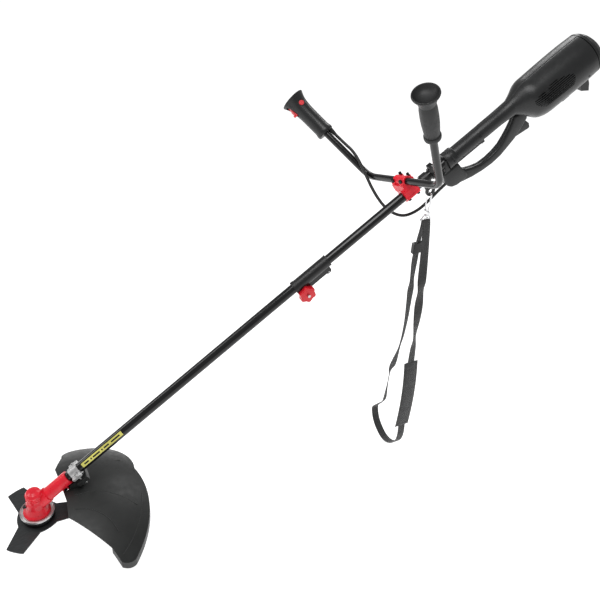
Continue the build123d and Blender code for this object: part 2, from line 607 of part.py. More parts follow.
def make_motor():
    bore = 26.0
    stator = x_rod(446, 520, 35.0, bore)
    for side in (-1, 1):
        stator -= block(445, 521, -12, 12, *sorted((side * 27.5, side * 40)))
    coils = []
    for side in (-1, 1):
        z0, z1 = sorted((side * 27.7, side * 33))
        coils.append(block(442, 526, -11.5, 11.5, z0, z1) & x_rod(430, 530, 35.0))
    nodes["field_stator"] = group([stator] + coils)
    armature = x_rod(448, 518, 25.0)
    for k in range(12):
        armature -= Rot(30 * k, 0, 0) * block(447, 519, -1.4, 1.4, 14, 26)
    armature += x_rod(416, 448, 6.0) + x_rod(518, 572, 6.0) + x_rod(538, 556, 13.0)
    armature += x_rod(400, 416, 9.0)
    armature -= x_rod(399, 402, SHAFT_R)
    nodes["armature"] = armature
    fan = x_rod(437, 441, 30.0, 6.0)
    for k in range(9):
        fan += Rot(40 * k, 0, 0) * block(430, 438, -1, 1, 10, 29)
    fan += x_rod(430, 438, 12.0, 6.0)
    nodes["cooling_fan"] = fan
    nodes["motor_bearings"] = group(
        Plane(origin=(x, 0, 0), z_dir=(1, 0, 0)) * ball_bearing(13.0, 6.0 + FIT, 9.0) for x in (418.0, 562.0))
    front = x_rod(416, 429, 16.0, 13.0) + x_rod(413, 417, 35.0, 10.0)
    rear = x_rod(560, 573, 16.0, 13.0) + x_rod(572, 576, 35.0)
    for k in range(4):
        rear -= Rot(90 * k + 45, 0, 0) * x_rod(571, 577, 6.0, z=24)
        front -= Rot(90 * k + 45, 0, 0) * x_rod(412, 418, 5.0, z=26)
    nodes["motor_brackets"] = group([front, rear])
    brush_gear = []
    for side in (-1, 1):
        y0, y1 = sorted((side * 13.3, side * 28))
        brush_gear.append(block(543, 551, y0, y1, -3, 3))
        y0, y1 = sorted((side * 17, side * 32))
        brush_gear.append(block(541, 553, y0, y1, -5, 5) - block(543, 551, -28, 28, -3, 3))
    nodes["brush_gear"] = group(brush_gear)


# ---- clamping knob on the collar in front of the motor ----
def make_collar():
    collar = x_rod(72, 90, TUBE_R + 4, TUBE_R) + block(74, 88, -8, 8, 14, 26)
    collar -= block(70, 92, -1, 1, 10, 30)
    collar -= x_rod(60, 100, TUBE_R)
    collar -= y_rod(-10, 10, 2.5, x=81, z=21)
    nodes["tube_collar"] = collar
    wing = y_rod(-24, -8.3, 5.0, x=81, z=21)
    for side in (-1, 1):
        arm = block(72, 90, -24, -17.5, 21, 36) & y_rod(-24, -17.5, 9, x=81, z=31)
        wing += Pos(81, 0, 21) * Rot(0, side * 52 + 10, 0) * Pos(-81, 0, -21) * arm
    wing += y_rod(-9, 9.5, 2.5 - FIT, x=81, z=21)
    nodes["collar_wing_bolt"] = wing


make_tubes()
make_coupling()
make_clamp()
make_handlebar()
make_plain_grip()
make_switch_grip()
make_cable()
make_hanger()
make_housing()
make_motor()
make_collar()


# ---- harness, hanging straight down: made in the row frame ----
P = radians(PITCH)
EYE_X = EYE[0] * cos(P) - EYE[1] * sin(P)
EYE_Z = EYE[0] * sin(P) + EYE[1] * cos(P)
WEB_WIDTH = 25.0
WEB_T = 2.4
hanging = {}


def wire(points, r, radius):
    """Bent wire in the plane across the tube, through (y, z) points counted from the eye."""
    line = [(EYE_X, y, EYE_Z + z) for y, z in points]
    path = FilletPolyline(*line, radius=radius)
    return sweep(Plane(origin=line[0], z_dir=path % 0) * Circle(r), path=path)


def ribbon(points, thick, width):
    """Flat webbing along (y, z) points, width along X."""
    left, right = [], []
    count = len(points)
    for i, (y, z) in enumerate(points):
        y0, z0 = points[max(i - 1, 0)]
        y1, z1 = points[min(i + 1, count - 1)]
        size = hypot(y1 - y0, z1 - z0)
        ny, nz = (z1 - z0) / size * thick / 2, -(y1 - y0) / size * thick / 2
        left.append((EYE_X - width / 2, y + ny, EYE_Z + z + nz))
        right.append((EYE_X - width / 2, y - ny, EYE_Z + z - nz))
    outline = Polyline(*(left + right[::-1]), close=True)
    return extrude(make_face(outline.edges()), amount=width, dir=(1, 0, 0))


GATE_PIVOT = (7.4, -62.0)
RING_R = 2.0
RING_TOP = -71.0
RING_BAR = -84.0
FRONT_WEB = [(-3.5, -83), (-8, -100), (-16, -150), (-27, -250), (-33, -350), (-38, -450), (-42, -548)]
PAD_RUN = [(-42, -550), (-50, -600), (-54, -680), (-52, -760), (-48, -808)]
REAR_WEB = [(3.5, -83), (8, -100), (14, -150), (18, -230), (16, -320), (13, -420), (18, -500), (34, -580),
            (54, -650), (56, -740), (62, -790), (92, -830), (104, -858), (84, -900), (40, -926), (0, -922),
            (-36, -890), (-50, -850), (-48, -810)]


def make_harness():
    hook = wire([(-5, -60), (-9.5, -30), (-8, -4), (8, -4), (9.5, -17)], 2.4, 5.5)
    base = block(EYE_X - 4, EYE_X + 4, -11, 11, EYE_Z - 66, EYE_Z - 58)
    base -= block(EYE_X - 2, EYE_X + 2, 4.6, 12, EYE_Z - 65.2, EYE_Z - 57)
    base += x_rod(EYE_X - 4, EYE_X + 4, 1.2, y=GATE_PIVOT[0], z=EYE_Z + GATE_PIVOT[1])
    base += block(EYE_X - 3.5, EYE_X + 3.5, -4, 4, EYE_Z + RING_TOP, EYE_Z - 66)
    base += x_rod(EYE_X - 3.5, EYE_X + 3.5, 5.5, z=EYE_Z + RING_TOP)
    base -= x_rod(EYE_X - 5, EYE_X + 5, RING_R + 0.4, z=EYE_Z + RING_TOP)
    hanging["snap_hook"] = hook + base
    pivot_y, pivot_z = GATE_PIVOT[0], EYE_Z + GATE_PIVOT[1]
    gate = rod((EYE_X, pivot_y, pivot_z), (EYE_X, 9.4, EYE_Z - 20.5), 1.7)
    gate += x_rod(EYE_X - 1.7, EYE_X + 1.7, 2.4, y=pivot_y, z=pivot_z)
    hanging["hook_gate"] = gate - x_rod(EYE_X - 3, EYE_X + 3, 1.2 + FIT, y=pivot_y, z=pivot_z)
    corners = [(-7, RING_TOP), (7, RING_TOP), (17.5, RING_BAR), (-17.5, RING_BAR)]
    ring = None
    for (x0, z0), (x1, z1) in zip(corners, corners[1:] + corners[:1]):
        side = rod((EYE_X + x0, 0, EYE_Z + z0), (EYE_X + x1, 0, EYE_Z + z1), RING_R)
        side += Pos(EYE_X + x0, 0, EYE_Z + z0) * Sphere(RING_R)
        ring = side if ring is None else ring + side
    hanging["strap_ring"] = ring
    hanging["front_webbing"] = ribbon(FRONT_WEB, WEB_T, WEB_WIDTH)
    hanging["rear_webbing"] = ribbon(REAR_WEB, WEB_T, WEB_WIDTH)
    hanging["shoulder_pad"] = ribbon(PAD_RUN, 10.0, 46.0)
    slider = block(EYE_X - 17, EYE_X + 17, 10, 21, EYE_Z - 196, EYE_Z - 164)
    hanging["strap_slider"] = slider - block(EYE_X - 13.5, EYE_X + 13.5, 12.2, 19, EYE_Z - 197, EYE_Z - 163)


make_harness()


def save():
    os.makedirs("parts", exist_ok=True)
    turn = Rot(0, -PITCH, 0)
    for name, shape in nodes.items():
        export_step(turn * shape, f"parts/{name}.step")
    for name, shape in hanging.items():
        export_step(shape, f"parts/{name}.step")
    print(len(nodes) + len(hanging), "nodes")


save()
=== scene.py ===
import bpy
from math import atan2, cos, hypot, pi, radians, sin
from mathutils import Matrix, Vector


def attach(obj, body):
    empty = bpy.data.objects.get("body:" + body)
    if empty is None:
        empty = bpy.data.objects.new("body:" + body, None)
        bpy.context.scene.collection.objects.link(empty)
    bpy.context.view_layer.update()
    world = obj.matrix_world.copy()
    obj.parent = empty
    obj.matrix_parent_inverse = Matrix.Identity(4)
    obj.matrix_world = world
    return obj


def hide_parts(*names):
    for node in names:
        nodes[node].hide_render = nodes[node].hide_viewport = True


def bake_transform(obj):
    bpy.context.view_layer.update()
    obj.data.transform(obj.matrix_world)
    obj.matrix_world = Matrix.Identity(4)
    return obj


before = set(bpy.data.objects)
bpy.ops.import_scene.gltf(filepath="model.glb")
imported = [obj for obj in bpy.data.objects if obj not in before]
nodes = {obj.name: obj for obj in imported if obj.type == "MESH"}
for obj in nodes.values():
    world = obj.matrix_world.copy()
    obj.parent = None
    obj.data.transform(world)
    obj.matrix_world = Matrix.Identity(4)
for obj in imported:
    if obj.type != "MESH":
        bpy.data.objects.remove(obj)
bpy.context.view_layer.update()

MM = 0.001
PITCH = radians(34)

# ---- working frames, each a place with its own axes ----
# TOOL: +X up the tube to the motor, +Z square to the tube, +Y to the operator's right.
TOOL = Matrix.Rotation(-PITCH, 4, "Y")
# AXIAL: a shape drawn up +Z lies along the tube, with +Y away from the ground.
AXIAL = TOOL @ Matrix(((0, 0, 1, 0), (1, 0, 0, 0), (0, 1, 0, 0), (0, 0, 0, 1)))
APEX = TOOL @ Vector((-1.264, 0, 0))
HEAD = Matrix.Translation(APEX)
BAR_TURN = TOOL @ Matrix.Rotation(radians(-14.5), 4, "X") @ Matrix.Rotation(radians(10.5), 4, "Z")
BAR_LEAN = radians(29)
EYE = TOOL @ Vector((0.052, 0, -0.046))


def grip_place(side):
    """Outer end of a hand grip: Z outwards along the bar, X towards the motor."""
    along = Vector((0, side * sin(BAR_LEAN), cos(BAR_LEAN)))
    end = Vector((0, side * 0.158, 0.038)) + 0.305 * along
    across = along.cross(Vector((1, 0, 0)))
    turn = Matrix((Vector((1, 0, 0)), across, along)).transposed().to_4x4()
    return BAR_TURN @ Matrix.Translation(end) @ turn


def tool_point(x, y, z):
    return TOOL @ Vector((x * MM, y * MM, z * MM))


# ---- camera ----
camera_data = bpy.data.cameras.new("camera")
camera_data.lens = 42
camera_data.sensor_width = 36
camera_data.clip_end = 50
camera = bpy.data.objects.new("camera", camera_data)
camera.location = (-1.0528, -1.3646, 0.7573)
camera.rotation_euler = (radians(56.68), radians(-2.81), radians(-26.8))
bpy.context.scene.collection.objects.link(camera)
bpy.context.scene.camera = camera


# ---- finishes ----
def finish_base(name, colour, roughness, metallic=0.0, **sockets):
    material = bpy.data.materials.new(name)
    material.use_nodes = True
    shader = material.node_tree.nodes["Principled BSDF"]
    shader.inputs["Base Color"].default_value = (*colour, 1)
    shader.inputs["Roughness"].default_value = roughness
    shader.inputs["Metallic"].default_value = metallic
    for socket, value in sockets.items():
        shader.inputs[socket.replace("_", " ")].default_value = value
    return material


def add_node(material, kind, **settings):
    node = material.node_tree.nodes.new(kind)
    for key, value in settings.items():
        if key in node.inputs:
            node.inputs[key].default_value = value
        else:
            setattr(node, key, value)
    return node


def link(material, source, target):
    material.node_tree.links.new(source, target)


def object_space(material, scale=(1, 1, 1), turn=(0, 0, 0)):
    coordinates = add_node(material, "ShaderNodeTexCoord")
    mapping = add_node(material, "ShaderNodeMapping")
    mapping.inputs["Scale"].default_value = scale
    mapping.inputs["Rotation"].default_value = turn
    link(material, coordinates.outputs["Object"], mapping.inputs["Vector"])
    return mapping.outputs["Vector"]


def mottle(material, space, scale, low, high, socket, detail=4.0):
    """Let a noise drive a shader socket between two greys or two colours."""
    noise = add_node(material, "ShaderNodeTexNoise", Scale=scale, Detail=detail)
    ramp = add_node(material, "ShaderNodeValToRGB")
    link(material, space, noise.inputs["Vector"])
    link(material, noise.outputs["Fac"], ramp.inputs["Fac"])
    ramp.color_ramp.elements[0].position = 0.3
    ramp.color_ramp.elements[1].position = 0.7
    for element, value in zip(ramp.color_ramp.elements, (low, high)):
        element.color = (*value, 1) if hasattr(value, "__len__") else (value, value, value, 1)
    link(material, ramp.outputs["Color"], material.node_tree.nodes["Principled BSDF"].inputs[socket])
    return noise


def grain(material, height, strength, distance=0.001):
    bump = add_node(material, "ShaderNodeBump", Strength=strength, Distance=distance)
    link(material, height, bump.inputs["Height"])
    link(material, bump.outputs["Normal"], material.node_tree.nodes["Principled BSDF"].inputs["Normal"])
    return bump


def shaded(colour, share):
    return tuple(channel * share for channel in colour)


def enamel(name, colour, roughness=0.25, spread=0.15):
    """Baked paint on metal: a faint orange peel, slightly uneven gloss."""
    material = finish_base(name, colour, roughness, Coat_Weight=0.2, Coat_Roughness=0.08, Specular_IOR_Level=0.35)
    space = object_space(material)
    mottle(material, space, 35, shaded(colour, 1 - spread), shaded(colour, 1 + spread), "Base Color")
    mottle(material, space, 120, roughness * 0.8, roughness * 1.3, "Roughness")
    peel = add_node(material, "ShaderNodeTexNoise", Scale=700.0, Detail=2.0)
    link(material, space, peel.inputs["Vector"])
    grain(material, peel.outputs["Fac"], 0.08, 0.0004)
    return material


def moulded(name, colour, roughness=0.5, texture=0.25, scale=1800.0):
    """Moulded plastic with a fine spark-eroded texture."""
    material = finish_base(name, colour, roughness, Specular_IOR_Level=0.42)
    space = object_space(material)
    mottle(material, space, 22, shaded(colour, 0.86), shaded(colour, 1.16), "Base Color")
    mottle(material, space, 60, roughness * 0.85, roughness * 1.15, "Roughness")
    pits = add_node(material, "ShaderNodeTexNoise", Scale=scale, Detail=3.0)
    link(material, space, pits.inputs["Vector"])
    grain(material, pits.outputs["Fac"], texture, 0.0003)
    return material


def metal(name, colour, roughness, brush=(1, 1, 1), scale=400.0, strength=0.12):
    """Machined, cast or rolled metal; brush stretches the marks along an axis."""
    material = finish_base(name, colour, roughness, metallic=1.0)
    space = object_space(material, scale=brush)
    mottle(material, space, 60, shaded(colour, 0.82), shaded(colour, 1.12), "Base Color")
    marks = mottle(material, space, scale, roughness * 0.75, roughness * 1.35, "Roughness")
    grain(material, marks.outputs["Fac"], strength, 0.0003)
    return material


def woven(name, colour, pitch=0.0016):
    """Webbing: ribs across the band with a fine thread texture."""
    material = finish_base(name, colour, 0.85, Sheen_Weight=0.35, Sheen_Roughness=0.5)
    uv = add_node(material, "ShaderNodeUVMap", uv_map="weave")
    mapping = add_node(material, "ShaderNodeMapping")
    mapping.inputs["Scale"].default_value = (1 / pitch, 1 / pitch, 1)
    link(material, uv.outputs["UV"], mapping.inputs["Vector"])
    ribs = add_node(material, "ShaderNodeTexWave", wave_type="BANDS", bands_direction="Y", Scale=0.35,
                    Distortion=0.6, Detail=2.0)
    ribs.inputs["Detail Scale"].default_value = 2.0
    threads = add_node(material, "ShaderNodeTexWave", wave_type="BANDS", bands_direction="X", Scale=0.5,
                       Distortion=0.3, Detail=1.0)
    both = add_node(material, "ShaderNodeMath", operation="ADD")
    for waves in (ribs, threads):
        link(material, mapping.outputs["Vector"], waves.inputs["Vector"])
    link(material, ribs.outputs["Fac"], both.inputs[0])
    link(material, threads.outputs["Fac"], both.inputs[1])
    ramp = add_node(material, "ShaderNodeValToRGB")
    ramp.color_ramp.elements[0].color = (*shaded(colour, 0.55), 1)
    ramp.color_ramp.elements[1].color = (*shaded(colour, 1.5), 1)
    half = add_node(material, "ShaderNodeMath", operation="MULTIPLY")
    half.inputs[1].default_value = 0.5
    link(material, both.outputs[0], half.inputs[0])
    link(material, half.outputs[0], ramp.inputs["Fac"])
    link(material, ramp.outputs["Color"], material.node_tree.nodes["Principled BSDF"].inputs["Base Color"])
    grain(material, both.outputs[0], 0.7, 0.0006)
    return material


BLACK_ENAMEL = enamel("black_enamel", (0.0035, 0.0035, 0.004), 0.16)
RED_ENAMEL = enamel("red_enamel", (0.78, 0.012, 0.03), 0.3)
HOUSING = moulded("housing_plastic", (0.012, 0.0125, 0.013), 0.34)
GUARD = moulded("guard_plastic", (0.014, 0.015, 0.0145), 0.45, 0.3)
GRIP = moulded("grip_rubber", (0.012, 0.0125, 0.013), 0.48, 0.45, 1300.0)
BLACK_PLASTIC = moulded("black_plastic", (0.009, 0.009, 0.0095), 0.34)
RED_PLASTIC = moulded("red_plastic", (0.62, 0.01, 0.02), 0.3, 0.08)
RUBBER = moulded("cable_rubber", (0.008, 0.008, 0.008), 0.42, 0.2)
NYLON = moulded("nylon", (0.7, 0.69, 0.64), 0.45)
BLADE_STEEL = metal("blade_steel", (0.075, 0.078, 0.08), 0.45, (1, 6, 1))
DARK_STEEL = metal("blackened_steel", (0.05, 0.05, 0.052), 0.4)
BRIGHT_STEEL = metal("zinc_steel", (0.6, 0.6, 0.6), 0.3)
GROUND_STEEL = metal("ground_steel", (0.55, 0.55, 0.56), 0.25)
CAST_SILVER = metal("cast_silver", (0.62, 0.62, 0.62), 0.42, scale=250.0, strength=0.3)
IRON = metal("laminated_iron", (0.16, 0.15, 0.14), 0.5, (40, 1, 1))
BRASS = metal("brass", (0.6, 0.45, 0.2), 0.35)
NICKEL = metal("nickel", (0.72, 0.72, 0.73), 0.16)
WEB_BLACK = woven("black_webbing", (0.012, 0.0125, 0.013))
PAD_CLOTH = woven("pad_cloth", (0.016, 0.0165, 0.017), 0.0011)
EDGE_BLACK = woven("pad_edging", (0.007, 0.007, 0.007), 0.0011)
THREAD = moulded("sewing_thread", (0.05, 0.05, 0.05), 0.7)
YELLOW = moulded("yellow_marker", (0.72, 0.68, 0.16), 0.45, 0.05)

NODE_FINISH = {
    BLACK_ENAMEL: ("upper_tube", "lower_tube", "handlebar"),
    RED_ENAMEL: ("clamp_saddle", "clamp_tube_cap", "clamp_bar_cap", "gearbox_case"),
    HOUSING: ("motor_housing_left", "motor_housing_right", "rear_cap", "mains_inlet", "switch_grip_front_shell",
              "switch_grip_back_shell"),
    GUARD: ("guard",),
    GRIP: ("plain_grip",),
    BLACK_PLASTIC: ("coupling_sleeve", "lock_lever", "hanger_eye", "tube_collar", "collar_wing_bolt",
                    "rear_trigger", "cooling_fan", "grip_switch", "strap_slider"),
    RED_PLASTIC: ("coupling_knob", "trigger", "lock_button"),
    RUBBER: ("cable_relief", "control_cable"),
    NYLON: ("upper_tube_bushes", "lower_tube_bushes"),
    BLADE_STEEL: ("blade",),
    DARK_STEEL: ("clamp_bolts", "gearbox_fasteners", "drive_flange"),
    BRIGHT_STEEL: ("coupling_fasteners", "guard_fasteners", "blade_washer", "blade_nut"),
    GROUND_STEEL: ("gearbox_bearings", "motor_bearings", "upper_drive_shaft", "lower_drive_shaft", "shaft_socket",
                   "bevel_pinion", "bevel_gear", "spindle"),
    CAST_SILVER: ("deflector_ring", "guard_bracket_cap", "guard_bracket_base", "motor_brackets"),
    IRON: ("field_stator", "armature"),
    BRASS: ("brush_gear",),
    NICKEL: ("snap_hook", "hook_gate", "strap_ring"),
    WEB_BLACK: ("front_webbing", "rear_webbing"),
    PAD_CLOTH: ("shoulder_pad",),
}


def paint(piece, material):
    piece.data.materials.clear()
    piece.data.materials.append(material)


for material, names in NODE_FINISH.items():
    for name in names:
        for number in range(max(1, len(nodes[name].data.materials))):
            if nodes[name].data.materials:
                nodes[name].data.materials[number] = material
            else:
                nodes[name].data.materials.append(material)


# ---- control cable ----
CABLE_POINTS = [(-25.9, 265.6, 107.0), (-23.3, 245.2, 85.2), (-20, 203, 62), (-36, 156, 22), (-54, 110, -16),
                (-60, 65, -53), (-42, 28, -79), (0, 18, -89), (44, 18, -87), (78, 10, -73), (103.5, 0, -62)]


def make_cable():
    curve = bpy.data.curves.new("lead_route", "CURVE")
    curve.dimensions = "3D"
    curve.resolution_u = 12
    spline = curve.splines.new("NURBS")
    spline.points.add(len(CABLE_POINTS) - 1)
    for point, place in zip(spline.points, CABLE_POINTS):
        point.co = (*tool_point(*place), 1)
    spline.order_u = 3
    spline.use_endpoint_u = True
    route = bpy.data.objects.new("lead_route", curve)
    bpy.context.scene.collection.objects.link(route)
    graph = bpy.context.evaluated_depsgraph_get()
    line = [vertex.co.copy() for vertex in bpy.data.meshes.new_from_object(route.evaluated_get(graph)).vertices]
    curve.bevel_depth = 4.25 * MM
    curve.bevel_resolution = 6
    curve.use_fill_caps = True
    bpy.context.view_layer.update()
    graph = bpy.context.evaluated_depsgraph_get()
    lead = bpy.data.objects.new("control_lead", bpy.data.meshes.new_from_object(route.evaluated_get(graph)))
    bpy.context.scene.collection.objects.link(lead)
    bpy.data.objects.remove(route)
    bpy.ops.object.select_all(action="DESELECT")
    lead.select_set(True)
    bpy.context.view_layer.objects.active = lead
    bpy.ops.object.mode_set(mode="EDIT")
    bpy.ops.mesh.select_all(action="SELECT")
    bpy.ops.mesh.remove_doubles(threshold=2e-6)
    bpy.ops.mesh.normals_make_consistent(inside=False)
    bpy.ops.object.mode_set(mode="OBJECT")
    bpy.ops.object.shade_smooth_by_angle(angle=radians(50))
    paint(lead, RUBBER)
    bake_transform(lead)
    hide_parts("control_cable")


make_cable()

# ---- shaping ----
def start_piece(name):
    piece = bpy.context.object
    piece.name = name
    piece.data.name = name
    bpy.ops.object.mode_set(mode="EDIT")
    bpy.ops.mesh.select_mode(type="VERT")
    bpy.ops.mesh.select_all(action="SELECT")
    return piece


def settle(piece, place, material, smooth=35):
    """Leave edit mode, put the shape where it belongs and give it its finish."""
    bpy.ops.mesh.select_all(action="SELECT")
    bpy.ops.mesh.remove_doubles(threshold=2e-6)
    bpy.ops.mesh.delete_loose()
    bpy.ops.mesh.select_all(action="SELECT")
    bpy.ops.mesh.normals_make_consistent(inside=False)
    bpy.ops.object.mode_set(mode="OBJECT")
    piece.matrix_world = place
    bpy.ops.object.transform_apply(location=True, rotation=True, scale=True)
    if smooth:
        bpy.ops.object.shade_smooth_by_angle(angle=radians(smooth))
    paint(piece, material)
    return piece


def turned(name, profile, place, material, steps=64, smooth=35):
    """Spin a profile of (radius, height) in mm round the Z axis of a place."""
    bpy.ops.object.select_all(action="DESELECT")
    bpy.ops.mesh.primitive_plane_add(size=0.01)
    piece = start_piece(name)
    bpy.ops.mesh.merge(type="CENTER")
    bpy.ops.transform.translate(value=(profile[0][0] * MM, 0, profile[0][1] * MM))
    for (r0, z0), (r1, z1) in zip(profile, profile[1:]):
        bpy.ops.mesh.extrude_vertices_move(TRANSFORM_OT_translate={"value": ((r1 - r0) * MM, 0, (z1 - z0) * MM)})
    bpy.ops.mesh.select_all(action="SELECT")
    bpy.ops.mesh.spin(steps=steps, angle=2 * pi, center=(0, 0, 0), axis=(0, 0, 1))
    return settle(piece, place, material, smooth)


def lofted(name, rings, place, material, corners=48, smooth=35):
    """Draw a ring (z, x, y, half width, half depth) in mm along the Z axis of a place."""
    bpy.ops.object.select_all(action="DESELECT")
    bpy.ops.mesh.primitive_circle_add(vertices=corners, radius=MM, fill_type="NGON")
    piece = start_piece(name)
    z, x, y, a, b = rings[0]
    bpy.ops.transform.resize(value=(a, b, 1), center_override=(0, 0, 0))
    bpy.ops.transform.translate(value=(x * MM, y * MM, z * MM))
    for (z0, x0, y0, a0, b0), (z1, x1, y1, a1, b1) in zip(rings, rings[1:]):
        bpy.ops.mesh.extrude_region_move(
            TRANSFORM_OT_translate={"value": ((x1 - x0) * MM, (y1 - y0) * MM, (z1 - z0) * MM)})
        bpy.ops.transform.resize(value=(a1 / a0, b1 / b0, 1), center_override=(x1 * MM, y1 * MM, z1 * MM))
    return settle(piece, place, material, smooth)


def prism(name, outline, low, high, place, material, round_off=1.0):
    """A flat outline of (x, z) in mm, from low to high along Y, with its edges rounded."""
    bpy.ops.object.select_all(action="DESELECT")
    bpy.ops.mesh.primitive_plane_add(size=0.01)
    piece = start_piece(name)
    bpy.ops.mesh.merge(type="CENTER")
    bpy.ops.transform.translate(value=(outline[0][0] * MM, low * MM, outline[0][1] * MM))
    for (x0, z0), (x1, z1) in zip(outline, outline[1:]):
        bpy.ops.mesh.extrude_vertices_move(TRANSFORM_OT_translate={"value": ((x1 - x0) * MM, 0, (z1 - z0) * MM)})
    bpy.ops.mesh.select_all(action="SELECT")
    bpy.ops.mesh.edge_face_add()
    bpy.ops.mesh.extrude_region_move(TRANSFORM_OT_translate={"value": (0, (high - low) * MM, 0)})
    settle(piece, place, material, 0)
    if round_off:
        bevel = piece.modifiers.new("rounding", "BEVEL")
        bevel.width = round_off * MM
        bevel.segments = 3
        bevel.limit_method = "ANGLE"
        bevel.angle_limit = radians(28)
        bpy.ops.object.modifier_apply(modifier="rounding")
    bpy.ops.object.shade_smooth_by_angle(angle=radians(35))
    return piece


def bent_rod(name, points, r, place, material):
    """A round rod along a smooth line of points in mm."""
    curve = bpy.data.curves.new(name, "CURVE")
    curve.dimensions = "3D"
    curve.resolution_u = 8
    curve.bevel_depth = r * MM
    curve.bevel_resolution = 4
    curve.use_fill_caps = True
    spline = curve.splines.new("NURBS")
    spline.points.add(len(points) - 1)
    for point, spot in zip(spline.points, points):
        point.co = (spot[0] * MM, spot[1] * MM, spot[2] * MM, 1)
    spline.order_u = 3
    spline.use_endpoint_u = True
    rod = bpy.data.objects.new("rod_route", curve)
    bpy.context.scene.collection.objects.link(rod)
    graph = bpy.context.evaluated_depsgraph_get()
    piece = bpy.data.objects.new(name, bpy.data.meshes.new_from_object(rod.evaluated_get(graph)))
    bpy.context.scene.collection.objects.link(piece)
    bpy.data.objects.remove(rod)
    bpy.ops.object.select_all(action="DESELECT")
    piece.select_set(True)
    bpy.context.view_layer.objects.active = piece
    bpy.ops.object.mode_set(mode="EDIT")
    return settle(piece, place, material, 50)


def joined(name, shapes):
    """Several shapes made into one piece."""
    bpy.ops.object.select_all(action="DESELECT")
    for shape in shapes:
        shape.select_set(True)
    bpy.context.view_layer.objects.active = shapes[0]
    bpy.ops.object.join()
    whole = bpy.context.object
    whole.name = name
    return whole


def half_of(shape, name, point, normal):
    """A copy of a closed shape cut back to one side of a plane."""
    bpy.ops.object.select_all(action="DESELECT")
    shape.select_set(True)
    bpy.context.view_layer.objects.active = shape
    bpy.ops.object.duplicate()
    part = bpy.context.object
    part.name = name
    bpy.ops.object.mode_set(mode="EDIT")
    bpy.ops.mesh.select_all(action="SELECT")
    bpy.ops.mesh.bisect(plane_co=point, plane_no=normal, clear_inner=True, use_fill=True)
    bpy.ops.object.mode_set(mode="OBJECT")
    return part


def carve(piece, cutter):
    """Cut one closed shape out of another and drop the cutter."""
    cut = piece.modifiers.new("cut", "BOOLEAN")
    cut.object = cutter
    cut.operation = "DIFFERENCE"
    cut.solver = "EXACT"
    bpy.ops.object.select_all(action="DESELECT")
    piece.select_set(True)
    bpy.context.view_layer.objects.active = piece
    bpy.ops.object.modifier_apply(modifier="cut")
    bpy.data.objects.remove(cutter)


def choose_faces(piece, wanted):
    """Select the faces whose centre passes a test, and leave the piece in edit mode."""
    bpy.ops.object.select_all(action="DESELECT")
    piece.select_set(True)
    bpy.context.view_layer.objects.active = piece
    bpy.ops.object.mode_set(mode="EDIT")
    bpy.ops.mesh.select_mode(type="FACE")
    bpy.ops.mesh.select_all(action="DESELECT")
    bpy.ops.object.mode_set(mode="OBJECT")
    for polygon in piece.data.polygons:
        polygon.select = bool(wanted(polygon.center))
    bpy.ops.object.mode_set(mode="EDIT")


def fit_piece(piece, body, slot, *stands_for):
    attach(piece, body)
    if stands_for:
        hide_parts(*stands_for)


def eased(stations, steps=4):
    """More stations on a smooth line through the given ones."""
    line = []
    for i in range(len(stations) - 1):
        before, here = stations[max(i - 1, 0)], stations[i]
        there, after = stations[i + 1], stations[min(i + 2, len(stations) - 1)]
        for k in range(steps):
            t = k / steps
            line.append(tuple(
                0.5 * (2 * q + (r - p) * t + (2 * p - 5 * q + 4 * r - w) * t * t + (3 * q - p - 3 * r + w) * t ** 3)
                for p, q, r, w in zip(before, here, there, after)))
    line.append(tuple(stations[-1]))
    return line


# ---- harness webbing, pad, binding and stitches ----
HARNESS = Matrix.Translation(EYE)
# Each station: across the tool, height, turn of the band about the vertical in degrees.
FRONT_RUN = [(-3.5, -83, -5), (-8, -100, -5), (-16, -150, -5), (-22, -200, -12), (-28, -262, -24), (-30.5, -300, 12),
             (-33, -350, -20), (-36, -400, 4), (-38.5, -458, 37), (-40, -500, 14), (-42, -562, 4)]
PAD_RUN = [(-42, -551), (-50, -600), (-54, -680), (-52, -760), (-48, -806)]
REAR_RUN = [(3.5, -83, 12), (8, -108, 26), (14, -150, 24), (18, -218, 12), (16.5, -285, 27), (15.5, -320, 10),
            (14.5, -360, 19), (13, -430, 30), (18, -500, 36), (27, -547, 36), (44, -625, 4), (53, -668, 50),
            (57, -735, 42), (62, -790, 24), (92, -830, 6), (104, -858, 0), (84, -900, 0), (40, -926, 0), (0, -922, 0),
            (-36, -890, 0), (-50, -850, 0), (-48.4, -798, 0)]


